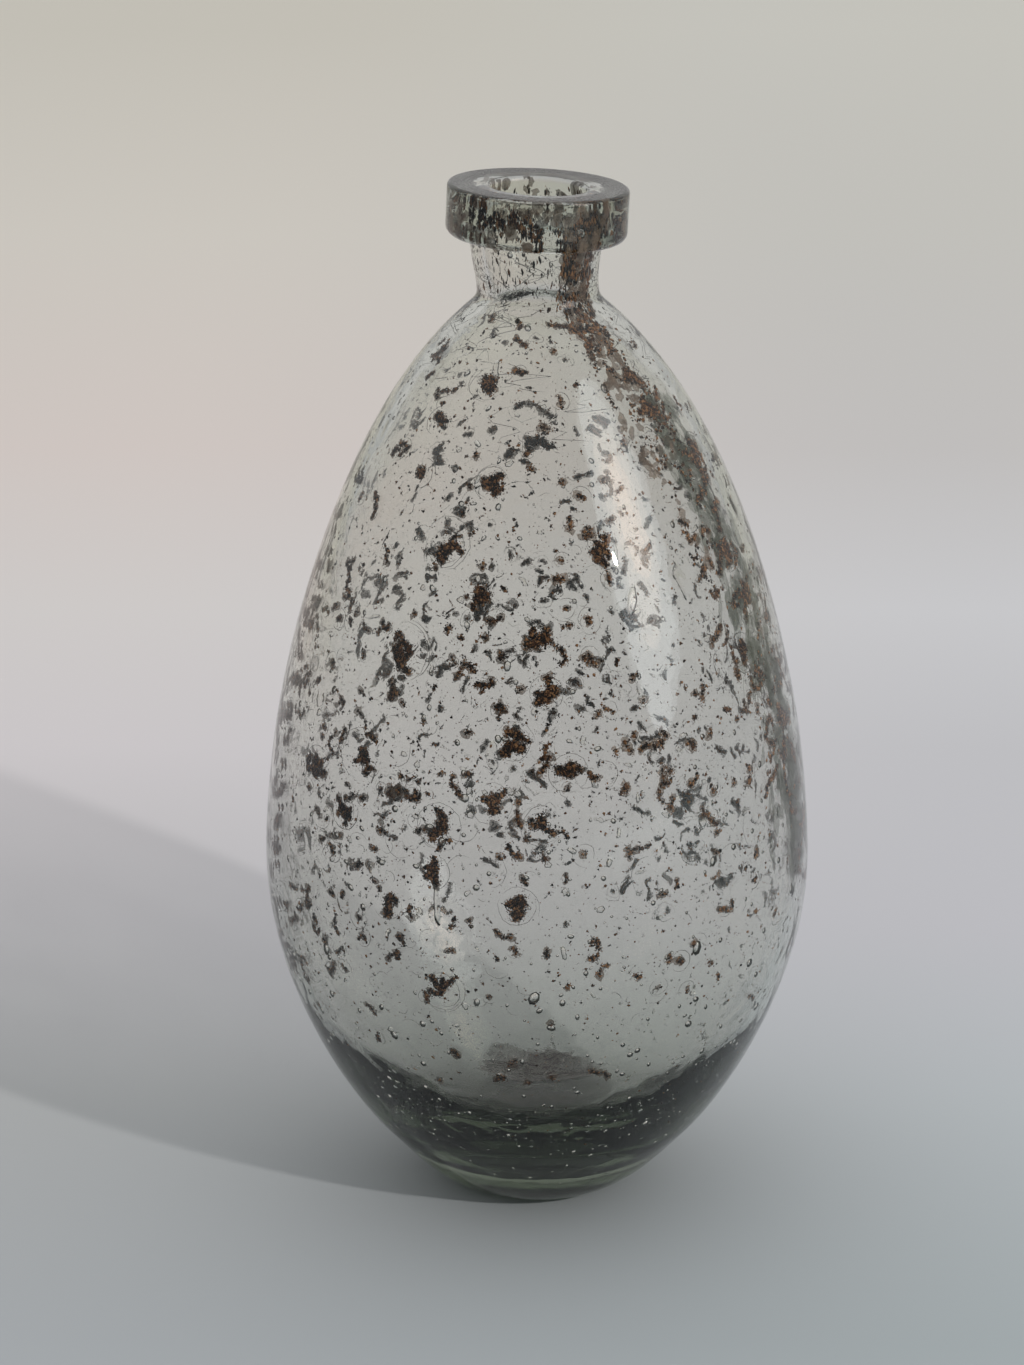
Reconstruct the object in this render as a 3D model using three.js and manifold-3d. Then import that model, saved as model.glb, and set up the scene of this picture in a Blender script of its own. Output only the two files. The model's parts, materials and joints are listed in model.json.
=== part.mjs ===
// A hand-blown bottle of clear glass, speckled with dark oxide.
//
// It is made the way a blower makes it. A thin first gather is rolled in oxide chips, a second
// clear gather cases it and pools into a heavy base, and a wrap of hot glass round the neck is
// pressed into a thick, slightly tilted lip collar. The foot is ground with a shallow dish.
//
// Millimetres, +Z up. The origin is the centre of the foot, on the surface that it stands on.
// The front faces -Y. An azimuth of 0 is the front, and it grows towards +X.

import * as THREE from 'three';
import { mergeVertices } from 'three/addons/utils/BufferGeometryUtils.js';
import Module from 'manifold-3d';

// Body outline, outside
const bodyHeight = 285;         // foot to the crease where the neck starts
const bellyRadius = 85.2;
const bellyHeight = 108.5;
const bellyRoundBelow = 36;     // how far the belly's roundness reaches down and up
const bellyRoundAbove = 50;
const footRadius = 24;
const heelRadius = 50;          // a point on the cone that rises from the foot
const heelHeight = 20;
const heelSlope = 46;           // degrees above level
const heelSweep = 20;           // how far that cone stays straight, going up
const footSweep = 10;           // how far the foot's edge stays level, going out
const shoulderReach = 44;       // from the crease out and down to the shoulder's handle
const shoulderDrop = 37.5;

// Neck and mouth
const neckHeight = 35;          // crease to the middle of the mouth
const neckRadius = 18.3;        // at the waist, just above the crease
const neckSwell = 1.6;          // how much wider the neck grows under the collar
const mouthRadius = 19;         // outside, at the mouth
const creaseRound = 1.9;

// Glass
const casingWall = 2.6;
const casingFloor = 12;
const gatherWall = 1.6;
const gatherFloor = 6;
const bowlSpread = 40;          // how far the inner floor stays level from the axis
const bowlRise = 25;
const bowlJoin = 0.5;           // where the bowl meets the wall, along the lower belly
const dishRadius = 18;          // the ground dish under the foot
const dishDepth = 1;
const seam = 0.3;               // clearance between one body of glass and the next

// Lip collar
const collarRadius = 27.2;
const collarThickness = 15.7;
const collarLowerRound = 3;
const collarUpperRound = 1.2;
const lipTilt = 2.7;            // degrees, lower on the right

// Oxide chips
const chipThickness = 0.8;
const pocketGap = 0.4;          // clearance round a chip in its pocket
const chipCorners = 12;

// Facets
const turns = 40;               // flat faces round the axis
const trimMargin = 6;           // how far a blank runs past the plane that trims it

const mouthHeight = bodyHeight + neckHeight;
const degree = Math.PI / 180;

// Front chips: azimuth in degrees, height as a share of the body's, width, height, roll.
const frontChips = [
  [-25, 0.945, 8, 10, 12],
  [51, 0.945, 8, 8, -40],
  [51, 0.915, 9, 11, -35],
  [-42, 0.905, 8, 6.6, 20],
  [68, 0.856, 12, 11, -30],
  [-15, 0.853, 12, 5.6, -18],
  [-41, 0.853, 7, 6, 60],
  [-27, 0.793, 16, 8, 35],
  [18, 0.786, 14, 8, -20],
  [63, 0.761, 13, 9, -40],
  [-15, 0.747, 9, 7, 10],
  [0, 0.705, 13, 5.6, 5],
  [67, 0.709, 12, 8, 25],
  [-34, 0.681, 16, 13, 8],
  [58, 0.66, 12, 8, -15],
  [2, 0.653, 12, 6.6, 0],
  [-5, 0.604, 12, 9, -20],
  [7, 0.574, 11, 9, 25],
  [71, 0.572, 13, 10, 60],
  [-42, 0.572, 12, 13, -50],
  [-56, 0.537, 9, 13, -10],
  [-10, 0.54, 10, 12, 40],
  [-45, 0.505, 12, 7, 0],
  [-21, 0.512, 12, 10, -15],
  [1, 0.52, 10, 9, 70],
  [-22, 0.463, 12, 6.6, 15],
  [-4, 0.432, 15, 7, 25],
  [-32, 0.421, 12, 9, 35],
  [-20, 0.33, 15, 7, 5],
];

// Chips behind: rows of them round the back, staggered from row to row.
const backRows = [0.36, 0.58, 0.8];
const backAzimuths = [105, 142, 180, 217, 252];
const backStagger = 14;
const backChipWidth = 12;
const backChipHeight = 8.5;

const clearGlass = { color: 0xc9cdc8, roughness: 0.05, metalness: 0, transparent: true, opacity: 0.45 };
const smokyGlass = { color: 0xaeb0a8, roughness: 0.06, metalness: 0, transparent: true, opacity: 0.5 };
const lipGlass = { color: 0x8d938a, roughness: 0.06, metalness: 0, transparent: true, opacity: 0.6 };
const oxide = { color: 0x2b211a, roughness: 0.7, metalness: 0 };

const wasm = await Module();
wasm.setup();

// ---- solids ------------------------------------------------------------------------------

// Turn a closed three.js geometry into a manifold solid.
function solidFrom(geometry) {
  const bare = geometry.clone();
  bare.deleteAttribute('normal');
  bare.deleteAttribute('uv');
  const merged = mergeVertices(bare, 1e-4);
  const corners = merged.index.array;
  const faces = [];
  for (let i = 0; i < corners.length; i += 3) {
    const [a, b, c] = corners.subarray(i, i + 3);
    if (a !== b && b !== c && c !== a) faces.push(a, b, c);
  }
  return new wasm.Manifold(new wasm.Mesh({
    numProp: 3,
    vertProperties: new Float32Array(merged.attributes.position.array),
    triVerts: new Uint32Array(faces),
  }));
}

function geometryFrom(solid) {
  const mesh = solid.getMesh();
  const geometry = new THREE.BufferGeometry();
  geometry.setAttribute('position', new THREE.BufferAttribute(mesh.vertProperties, 3));
  geometry.setIndex(new THREE.BufferAttribute(mesh.triVerts, 1));
  geometry.computeVertexNormals();
  return geometry;
}

// Spin a profile of (radius, height) points round the Z axis.
function spin(profile) {
  return new THREE.LatheGeometry(profile, turns).rotateX(Math.PI / 2);
}

function mesh(name, geometry, look) {
  const piece = new THREE.Mesh(geometry, new THREE.MeshStandardMaterial(look));
  piece.name = name;
  return piece;
}

// ---- outline -----------------------------------------------------------------------------

const point = (radius, height) => new THREE.Vector2(radius, height);

const heelWay = point(Math.cos(heelSlope * degree), Math.sin(heelSlope * degree));
const heelPoint = point(heelRadius, heelHeight);
const creasePoint = point(neckRadius + creaseRound, bodyHeight);
const shoulderWay = point(-shoulderReach, shoulderDrop);
const waistHeight = bodyHeight + creaseRound * 2;

const heel = new THREE.CubicBezierCurve(
  point(footRadius, 0),
  point(footRadius + footSweep, 0),
  heelPoint.clone().addScaledVector(heelWay, -heelSweep / 4),
  heelPoint,
);
const lowerBelly = new THREE.CubicBezierCurve(
  heelPoint,
  heelPoint.clone().addScaledVector(heelWay, heelSweep),
  point(bellyRadius, bellyHeight - bellyRoundBelow),
  point(bellyRadius, bellyHeight),
);
const upperBelly = new THREE.CubicBezierCurve(
  point(bellyRadius, bellyHeight),
  point(bellyRadius, bellyHeight + bellyRoundAbove),
  creasePoint.clone().sub(shoulderWay),
  creasePoint,
);
const crease = new THREE.QuadraticBezierCurve(
  creasePoint,
  creasePoint.clone().addScaledVector(shoulderWay, creaseRound / shoulderReach),
  point(neckRadius, waistHeight),
);
const neck = new THREE.CubicBezierCurve(
  point(neckRadius, waistHeight),
  point(neckRadius, waistHeight + neckHeight / 4),
  point(neckRadius + 2 * neckSwell, mouthHeight - neckHeight / 2),
  point(mouthRadius, mouthHeight + trimMargin),
);

// The point of a curve at t, moved into the glass by depth.
function inset(curve, t, depth) {
  const way = curve.getTangent(t);
  return curve.getPoint(t).add(point(-way.y, way.x).multiplyScalar(depth));
}

// A run of inset points along a curve, without its last one, which starts the next curve.
function run(curve, steps, depth, from = 0) {
  return Array.from({ length: steps }, (_, i) => inset(curve, from + (1 - from) * i / steps, depth));
}

// The wall's surface at one depth, from the lower belly to past the mouth.
function upperWall(depth) {
  return [
    ...run(upperBelly, 8, depth),
    ...run(crease, 2, depth),
    ...run(neck, 4, depth),
    inset(neck, 1, depth),
  ];
}

// The outside, from the middle of the ground dish to past the mouth.
function outside() {
  return [
    point(0, dishDepth),
    point(dishRadius * 0.7, dishDepth * 0.6),
    point(dishRadius, 0),
    ...run(heel, 4, 0),
    ...run(lowerBelly, 6, 0),
    ...upperWall(0),
  ];
}

// A surface inside the glass, from the axis up a round bowl and along the wall.
function inside(depth, floor) {
  const join = inset(lowerBelly, bowlJoin, depth);
  const joinWay = lowerBelly.getTangent(bowlJoin);
  const bowl = new THREE.CubicBezierCurve(
    point(0, floor),
    point(bowlSpread, floor),
    join.clone().addScaledVector(joinWay, -bowlRise),
    join,
  );
  return [
    ...run(bowl, 6, 0),
    ...run(lowerBelly, 3, depth, bowlJoin),
    ...upperWall(depth),
  ];
}

// ---- glass -------------------------------------------------------------------------------

// Close a surface over the top, so that it becomes a solid.
function filled(profile) {
  const top = profile[profile.length - 1];
  return solidFrom(spin([...profile, point(0, top.y)]));
}

// What lies above the tilted plane of the mouth.
function aboveMouth() {
  const size = 4 * collarRadius;
  const block = new THREE.BoxGeometry(size, size, size).translate(0, 0, size / 2);
  return solidFrom(block.rotateY(lipTilt * degree).translate(0, 0, mouthHeight));
}

const gatherDepth = casingWall + seam;
const gatherFloorHeight = casingFloor + seam;
const boreDepth = gatherDepth + gatherWall;
const boreFloorHeight = gatherFloorHeight + gatherFloor;

function innerGather() {
  const skin = filled(inside(gatherDepth, gatherFloorHeight));
  const hollow = filled(inside(boreDepth, boreFloorHeight));
  return skin.subtract(hollow).subtract(aboveMouth());
}

function casing(pockets) {
  const skin = filled(outside());
  const hollow = filled(inside(casingWall, casingFloor));
  const shell = skin.subtract(hollow).subtract(aboveMouth());
  return pockets.reduce((glass, pocket) => glass.subtract(pocket), shell);
}

// The collar is a thick disc with rounded edges, tilted, and bored to go over the neck.
function lipCollar() {
  const disc = new THREE.Path();
  disc.moveTo(0, -collarThickness);
  disc.lineTo(collarRadius - collarLowerRound, -collarThickness);
  disc.absarc(collarRadius - collarLowerRound, collarLowerRound - collarThickness,
    collarLowerRound, -Math.PI / 2, 0, false);
  disc.absarc(collarRadius - collarUpperRound, -collarUpperRound,
    collarUpperRound, 0, Math.PI / 2, false);
  disc.lineTo(0, 0);
  const blank = spin(disc.getPoints(3)).rotateY(lipTilt * degree).translate(0, 0, mouthHeight);
  const neckRoom = [
    point(0, waistHeight),
    ...run(neck, 4, -seam),
    inset(neck, 1, -seam),
  ];
  return solidFrom(blank).subtract(filled(neckRoom));
}

// ---- chips -------------------------------------------------------------------------------

// A repeatable number from 0 to 1 for each pair of whole numbers.
function scatter(a, b) {
  const wave = Math.sin(a * 127.1 + b * 311.7) * 43758.5453;
  return wave - Math.floor(wave);
}

// A ragged outline, grown all round by gap.
function raggedOutline(seed, width, height, gap) {
  const corners = Array.from({ length: chipCorners }, (_, i) => {
    const angle = 2 * Math.PI * i / chipCorners;
    const reach = 0.8 + 0.2 * scatter(seed, i);
    const corner = point(Math.cos(angle) * width / 2, Math.sin(angle) * height / 2);
    corner.multiplyScalar(reach);
    return corner.setLength(corner.length() + gap);
  });
  return new THREE.Shape(corners);
}

// A flat slab with that outline, its inner face at z = from and its outer face at z = to.
function slab(outline, from, to) {
  const depth = to - from;
  return new THREE.ExtrudeGeometry(outline, { depth, bevelEnabled: false }).translate(0, 0, from);
}

// Where the outline passes a height: halve the stretch of curve that holds it.
function shareOfCurveAt(curve, height) {
  let low = 0;
  let high = 1;
  for (let i = 0; i < 30; i += 1) {
    const middle = (low + high) / 2;
    if (curve.getPoint(middle).y < height) low = middle;
    else high = middle;
  }
  return low;
}

// The place on the casing's inner face that a chip lies against: X along the glass to the
// right, Y up the glass, Z out of it.
function chipPlace(azimuth, height, roll) {
  const curve = height < bellyHeight ? lowerBelly : upperBelly;
  const t = shareOfCurveAt(curve, height);
  const seat = inset(curve, t, casingWall);
  const way = curve.getTangent(t);
  const across = Math.cos(azimuth * degree);
  const along = Math.sin(azimuth * degree);
  const right = new THREE.Vector3(across, along, 0);
  const up = new THREE.Vector3(along * way.x, -across * way.x, way.y);
  const out = right.clone().cross(up);
  return new THREE.Matrix4()
    .makeBasis(right, up, out)
    .setPosition(along * seat.x, -across * seat.x, seat.y)
    .multiply(new THREE.Matrix4().makeRotationZ(roll * degree));
}

function chip(number, azimuth, share, width, height, roll) {
  const place = chipPlace(azimuth, share * bodyHeight, roll);
  const body = slab(raggedOutline(number, width, height, 0), 0, chipThickness);
  const hole = slab(raggedOutline(number, width, height, pocketGap), -1, chipThickness + seam);
  const name = `chip_${String(number).padStart(2, '0')}`;
  const piece = mesh(name, body, oxide);
  piece.applyMatrix4(place);
  return { piece, pocket: solidFrom(hole.applyMatrix4(place)) };
}

const backChips = backRows.flatMap((share, row) => backAzimuths.map((azimuth, column) => {
  const size = 0.8 + 0.4 * scatter(row, column);
  const sway = (row % 2) * backStagger;
  return [azimuth + sway, share, backChipWidth * size, backChipHeight * size, 360 * scatter(column, row)];
}));

const chips = [...frontChips, ...backChips].map((row, i) => chip(i + 1, ...row));

// ---- the bottle --------------------------------------------------------------------------

const bottle = new THREE.Group();
bottle.add(mesh('inner_gather', geometryFrom(innerGather()), smokyGlass));
bottle.add(mesh('casing', geometryFrom(casing(chips.map(({ pocket }) => pocket))), clearGlass));
bottle.add(mesh('lip_collar', geometryFrom(lipCollar()), lipGlass));
bottle.add(...chips.map(({ piece }) => piece));

export default bottle;
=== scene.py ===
# %% [markdown]
# # A speckled, hand-blown bottle
#
# The bottle is clear, smoky glass, blown in two gathers. The first gather was rolled in dark
# oxide, the second covers it, and a wrap of hot glass makes the thick lip. Each step below makes
# one thing that the eye finds in such glass: the body, the bubbles, the threads, the oxide
# clusters, the fine specks and the stains. The CAD frame gives every size and place.

# %% Load the frame
import json
import math
import bpy
import numpy as np
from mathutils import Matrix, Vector

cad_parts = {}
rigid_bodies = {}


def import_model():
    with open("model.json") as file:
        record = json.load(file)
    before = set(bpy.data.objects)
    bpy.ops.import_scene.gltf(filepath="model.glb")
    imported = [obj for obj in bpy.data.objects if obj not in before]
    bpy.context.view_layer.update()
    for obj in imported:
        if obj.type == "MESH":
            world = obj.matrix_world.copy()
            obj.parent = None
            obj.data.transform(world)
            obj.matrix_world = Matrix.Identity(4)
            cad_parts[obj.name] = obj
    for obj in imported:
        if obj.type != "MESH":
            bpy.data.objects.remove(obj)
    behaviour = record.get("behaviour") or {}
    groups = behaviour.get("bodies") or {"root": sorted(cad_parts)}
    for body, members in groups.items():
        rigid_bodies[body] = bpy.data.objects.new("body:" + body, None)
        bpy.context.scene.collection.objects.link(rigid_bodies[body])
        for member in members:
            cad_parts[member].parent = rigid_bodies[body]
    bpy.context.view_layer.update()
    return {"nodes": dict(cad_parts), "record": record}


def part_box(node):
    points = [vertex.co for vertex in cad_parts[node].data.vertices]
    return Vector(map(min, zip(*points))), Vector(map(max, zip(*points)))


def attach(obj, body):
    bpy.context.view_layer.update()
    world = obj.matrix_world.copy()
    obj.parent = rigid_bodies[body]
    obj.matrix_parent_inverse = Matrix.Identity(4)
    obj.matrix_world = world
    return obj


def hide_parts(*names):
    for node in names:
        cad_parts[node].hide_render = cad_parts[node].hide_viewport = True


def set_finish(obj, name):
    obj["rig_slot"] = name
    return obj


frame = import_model()
MM = 0.001
TAU = 2 * math.pi

# %% [markdown]
# ## Camera
#
# The view looks slightly down on the bottle from its front, from about three of its heights away.
# A long lens at that distance keeps the mouth a thin ellipse and the foot a rounder one. The
# camera comes first, because every later choice is judged through it.

# %% Camera
CAMERA_DISTANCE = 1.056         # from the bottle's axis, level
CAMERA_HEIGHT = 0.5195
CAMERA_PITCH = 18.59            # degrees, looking down
CAMERA_YAW = 0.38               # degrees, so that the bottle stands a little right of centre
LENS_LENGTH, SENSOR_WIDTH = 94.8, 36        # in mm
SIDEWAYS_SHIFT = -0.0022                    # of the frame's longer side
NEAREST_SEEN = 0.01

camera = bpy.data.objects.new("camera", bpy.data.cameras.new("camera"))
camera.data.lens = LENS_LENGTH
camera.data.sensor_width = SENSOR_WIDTH
camera.data.shift_x = SIDEWAYS_SHIFT
camera.data.clip_start = NEAREST_SEEN
camera.location = (0, -CAMERA_DISTANCE, CAMERA_HEIGHT)
camera.rotation_euler = (math.radians(90 - CAMERA_PITCH), 0, math.radians(CAMERA_YAW))
bpy.context.scene.collection.objects.link(camera)
bpy.context.scene.camera = camera
print("camera at", tuple(camera.location), "with a", camera.data.lens, "mm lens")

# %% [markdown]
# ## The outline
#
# A blown bottle is a surface of revolution with small errors. Its outline is a few smooth
# stretches, so it is drawn with Bezier curves: the heel, the belly below and above its widest
# point, the little round at the crease, and the neck. Radii and heights that the frame knows are
# read from it, and the rest are the same handles that the CAD outline has.

# %% Sizes of the glass
belly_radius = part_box("casing")[1].x
mouth = next(m for m in frame["record"]["mounts"] if m["name"] == "lip_top")
MOUTH_HEIGHT = mouth["pos_m"][2]
LIP_TILT = math.atan2(mouth["axis"][0], mouth["axis"][2])
COLLAR_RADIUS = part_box("lip_collar")[1].y
COLLAR_THICKNESS = 15.7 * MM
UNDERSIDE = MOUTH_HEIGHT - COLLAR_THICKNESS
CREASE_HEIGHT = MOUTH_HEIGHT - 35 * MM
BELLY_HEIGHT = 108.5 * MM
NECK_RADIUS = 18.3 * MM
MOUTH_RADIUS = 19 * MM
CASING_WALL = 2.6 * MM          # outside to the layer of oxide
GLASS_WALL = 4.5 * MM           # outside to inside
FLOOR_HEIGHT = 18.3 * MM        # inside, on the axis
print("belly radius", round(belly_radius, 4), "mouth at", MOUTH_HEIGHT, "tilt", round(LIP_TILT, 4))


# %% Curves
def bezier(p0, p1, p2, p3, steps, last=False):
    """Points along a cubic curve in (radius, height), without its last one unless asked."""
    t = np.linspace(0, 1, steps + 1)[:, None]
    p0, p1, p2, p3 = (np.array(p, float) for p in (p0, p1, p2, p3))
    curve = (1 - t) ** 3 * p0 + 3 * (1 - t) ** 2 * t * p1 + 3 * (1 - t) * t ** 2 * p2 + t ** 3 * p3
    return curve if last else curve[:-1]


def arc(centre, radius, start, end, steps):
    """Points round a corner, from one angle to another, in degrees."""
    a = np.radians(np.linspace(start, end, steps + 1))
    return np.column_stack([centre[0] + radius * np.cos(a), centre[1] + radius * np.sin(a)])


def normals(line):
    """Unit vectors square to a line of (radius, height) points, on its right-hand side."""
    way = np.gradient(line, axis=0)
    way /= np.linalg.norm(way, axis=1)[:, None]
    return np.column_stack([way[:, 1], -way[:, 0]])


def smooth_step(value, low, high):
    """0 below the low limit, 1 above the high one, and an easy curve between them."""
    share = np.clip((value - low) / (high - low), 0, 1)
    return share * share * (3 - 2 * share)


# %% The outside line
FOOT = (24 * MM, 0)
HEEL = np.array((50 * MM, 20 * MM))
HEEL_WAY = np.array((math.cos(math.radians(46)), math.sin(math.radians(46))))
BELLY = (belly_radius, BELLY_HEIGHT)
CREASE = (NECK_RADIUS + 1.9 * MM, CREASE_HEIGHT)
WAIST = (NECK_RADIUS, CREASE_HEIGHT + 3.8 * MM)

outline = np.vstack([
    bezier(FOOT, (34 * MM, 0), HEEL - 5 * MM * HEEL_WAY, HEEL, 14),
    bezier(HEEL, HEEL + 20 * MM * HEEL_WAY, (belly_radius, BELLY_HEIGHT - 36 * MM), BELLY, 26),
    bezier(BELLY, (belly_radius, BELLY_HEIGHT + 50 * MM),
           (CREASE[0] + 44 * MM, CREASE_HEIGHT - 37.5 * MM), CREASE, 52),
    bezier(CREASE, (19.2 * MM, CREASE_HEIGHT + 0.9 * MM), (NECK_RADIUS, CREASE_HEIGHT + 2 * MM), WAIST, 7),
    bezier(WAIST, (NECK_RADIUS, WAIST[1] + 8.7 * MM), (NECK_RADIUS + 3.2 * MM, MOUTH_HEIGHT - 17 * MM),
           (MOUTH_RADIUS, MOUTH_HEIGHT), 18, last=True),
])
outline_normals = normals(outline)
print("outline:", len(outline), "points, widest", round(outline[:, 0].max(), 4))

# %% [markdown]
# ## Places in the glass
#
# Everything inside the wall is placed by three numbers: an azimuth round the bottle (0 is the
# front, growing to the right), a height, and a depth into the glass. One function turns them
# into a point and three directions: right along the wall, up the wall, and out of it. The tilt of
# the lip is a small turn that grows from the crease to the mouth, and it moves them too.


# %% Tilt and wobble
TILT_REACH = 18 * MM            # height over which the neck takes up the tilt
# Each wave has its turns round the bottle, its turn for each metre up, its phase and its size in mm.
WAVES = [(2, 14, 0.4, 0.20), (3, -22, 1.9, 0.14), (5, 31, 4.2, 0.08), (7, -47, 0.7, 0.05),
         (4, 70, 2.6, 0.045), (9, 95, 5.1, 0.03), (13, -130, 3.3, 0.02), (17, 160, 1.2, 0.015)]


def tilt(points):
    """Lean the neck and lip to the side, as far as the frame's mouth plane does."""
    angle = LIP_TILT * smooth_step(points[:, 2], CREASE_HEIGHT, CREASE_HEIGHT + TILT_REACH)
    x, z = points[:, 0], points[:, 2] - MOUTH_HEIGHT
    turned = points.copy()
    turned[:, 0] = x * np.cos(angle) + z * np.sin(angle)
    turned[:, 2] = MOUTH_HEIGHT + z * np.cos(angle) - x * np.sin(angle)
    return turned


def wobble(azimuth, height):
    """The slow unevenness of hand-blown glass, in metres: a few waves round and up the body."""
    total = sum(size * np.sin(turns * azimuth + up * height + phase) for turns, up, phase, size in WAVES)
    fade = np.clip(height / (40 * MM), 0, 1) * np.clip((CREASE_HEIGHT - height) / (30 * MM), 0, 1)
    return total * fade * MM


print("wobble round the belly:", wobble(np.arange(4.0), BELLY_HEIGHT).round(5))


# %% Wall coordinates
def in_wall(azimuth, height, depth):
    """Points in the glass, with the directions right, up and out at each."""
    azimuth, height = np.atleast_1d(azimuth), np.atleast_1d(height)
    radius, nr, nz = (np.interp(height, outline[:, 1], column)
                      for column in (outline[:, 0], outline_normals[:, 0], outline_normals[:, 1]))
    radius = radius + wobble(azimuth, height)
    sine, cosine = np.sin(azimuth), np.cos(azimuth)
    level = np.zeros_like(sine)
    right = np.column_stack([cosine, sine, level])
    out = np.column_stack([nr * sine, -nr * cosine, nz])
    up = np.cross(out, right)
    points = np.column_stack([radius * sine, -radius * cosine, height]) - out * np.reshape(depth, (-1, 1))
    return tilt(points), right, up, out


def offset(azimuth, height, across, up):
    """Move places on the wall by distances across and up it."""
    radius = np.interp(height, outline[:, 1], outline[:, 0])
    slope = np.interp(height, outline[:, 1], outline_normals[:, 0])
    return azimuth + across / radius, height + up * slope


print("front of the belly:", in_wall(0, BELLY_HEIGHT, 0)[0][0].round(4))

# %% [markdown]
# ## The body of the glass
#
# The two gathers and the lip are fused on the real bottle, and light doesn't notice where one
# ends, so they are one closed mesh here. It is a lathe shape made row by row: up the outside, over
# the collar, down the bore and along the inside to the middle of the floor. A Screw modifier could
# spin the outline too, but rows made in code can wobble, and perfect rings look pressed, not blown.

# %% Profile of the whole glass
below_collar = outline[outline[:, 1] < UNDERSIDE - 0.4 * MM]
DISH_RADIUS, DISH_DEPTH = 18 * MM, 1 * MM
dish = bezier((0, DISH_DEPTH), (9 * MM, DISH_DEPTH), (15 * MM, 0.6 * MM), (DISH_RADIUS, 0.1 * MM), 6)
foot_ring = bezier((DISH_RADIUS, 0), (19 * MM, 0), (22 * MM, 0), FOOT, 3)
neck_at_collar = np.interp(UNDERSIDE, outline[:, 1], outline[:, 0])
BORE_RADIUS = MOUTH_RADIUS - GLASS_WALL
collar = np.vstack([
    arc((neck_at_collar + 0.7 * MM, UNDERSIDE - 0.7 * MM), 0.7 * MM, 180, 90, 4),
    [(COLLAR_RADIUS - 6 * MM, UNDERSIDE)],
    arc((COLLAR_RADIUS - 3 * MM, UNDERSIDE + 3 * MM), 3 * MM, -90, 0, 8),
    bezier((COLLAR_RADIUS, UNDERSIDE + 4 * MM), (COLLAR_RADIUS, UNDERSIDE + 7 * MM),
           (COLLAR_RADIUS, MOUTH_HEIGHT - 5 * MM), (COLLAR_RADIUS, MOUTH_HEIGHT - 1.6 * MM), 5),
    arc((COLLAR_RADIUS - 1.3 * MM, MOUTH_HEIGHT - 1.3 * MM), 1.3 * MM, 0, 90, 6),
    bezier((COLLAR_RADIUS - 2.2 * MM, MOUTH_HEIGHT), (COLLAR_RADIUS - 5 * MM, MOUTH_HEIGHT),
           (MOUTH_RADIUS, MOUTH_HEIGHT - 0.2 * MM), (MOUTH_RADIUS - 2 * MM, MOUTH_HEIGHT - 0.3 * MM), 6),
    arc((BORE_RADIUS + 1.5 * MM, MOUTH_HEIGHT - 1.9 * MM), 1.5 * MM, 90, 180, 6),
])
inner_line = outline - outline_normals * GLASS_WALL
bore = inner_line[(inner_line[:, 1] < MOUTH_HEIGHT - 2.5 * MM) & (outline[:, 1] > 62 * MM)][::-1]
bowl = bezier(bore[-1], bore[-1] - 24 * MM * np.array((0.42, 0.907)), (40 * MM, FLOOR_HEIGHT),
              (0, FLOOR_HEIGHT), 22, last=True)
profile = np.vstack([dish, foot_ring, below_collar, collar, bore[:-1], bowl])
print("profile:", len(profile), "rows")


# %% Lathe the profile
def grid_faces(rows, turns):
    """Triangles between rings of points that come after a first point, each ring closed on itself."""
    ring, i = np.meshgrid(np.arange(rows - 1), np.arange(turns), indexing="ij")
    a = 1 + ring * turns + i
    b = 1 + ring * turns + (i + 1) % turns
    lower = np.stack([a, b, b + turns], -1).reshape(-1, 3)
    upper = np.stack([a, b + turns, a + turns], -1).reshape(-1, 3)
    return np.vstack([lower, upper])


def closed_faces(rows, turns):
    """Triangles of a body with a first point, some rings and a last point."""
    i = np.arange(turns)
    j = (i + 1) % turns
    first = np.column_stack([np.zeros_like(i), 1 + j, 1 + i])
    end = 1 + rows * turns
    last = np.column_stack([end - turns + i, end - turns + j, np.full_like(i, end)])
    return np.vstack([first, grid_faces(rows, turns), last])


def lathe(rows, turns):
    """Vertices and faces of a closed lathe body whose first and last rows are on the axis."""
    azimuth = np.arange(turns) / turns * TAU
    angle, radius = np.meshgrid(azimuth, rows[1:-1, 0])
    height = np.repeat(rows[1:-1, 1][:, None], turns, 1)
    moved = radius + wobble(angle, height)
    rings = np.stack([moved * np.sin(angle), -moved * np.cos(angle), height], -1)
    verts = np.vstack([[(0, 0, rows[0, 1])], rings.reshape(-1, 3), [(0, 0, rows[-1, 1])]])
    return tilt(verts), closed_faces(len(rows) - 2, turns)


GLASS_TURNS = 132
glass_body = lathe(profile, GLASS_TURNS)
print("glass body:", len(glass_body[0]), "vertices,", len(glass_body[1]), "triangles")

# %% [markdown]
# ## Bubbles
#
# Seed bubbles are hollows in the glass, so they are closed surfaces whose faces look inwards, in
# the same mesh as the body. The renderer then bends light out of the glass and back into it, which
# gives each bubble its thin dark rim for free. One squashed ball makes the round seeds, the wide
# ragged blisters round the oxide, and the flat pockets that were drawn out by the blowing.

# %% Random numbers and shapes
rng = np.random.default_rng(819)
FURTHEST_IN, FURTHEST_OUT = 0.35, 1.8       # limits of a ragged outline, as shares of its radius


def all_round(count):
    """Angles anywhere in a full turn."""
    return rng.uniform(-math.pi, math.pi, count)


def sizes(count, middle, spread, smallest, largest):
    """Sizes round a middle one, with a few much larger, kept between two limits. All are in mm."""
    return np.clip(rng.lognormal(math.log(middle), spread, count), smallest, largest) * MM


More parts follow.
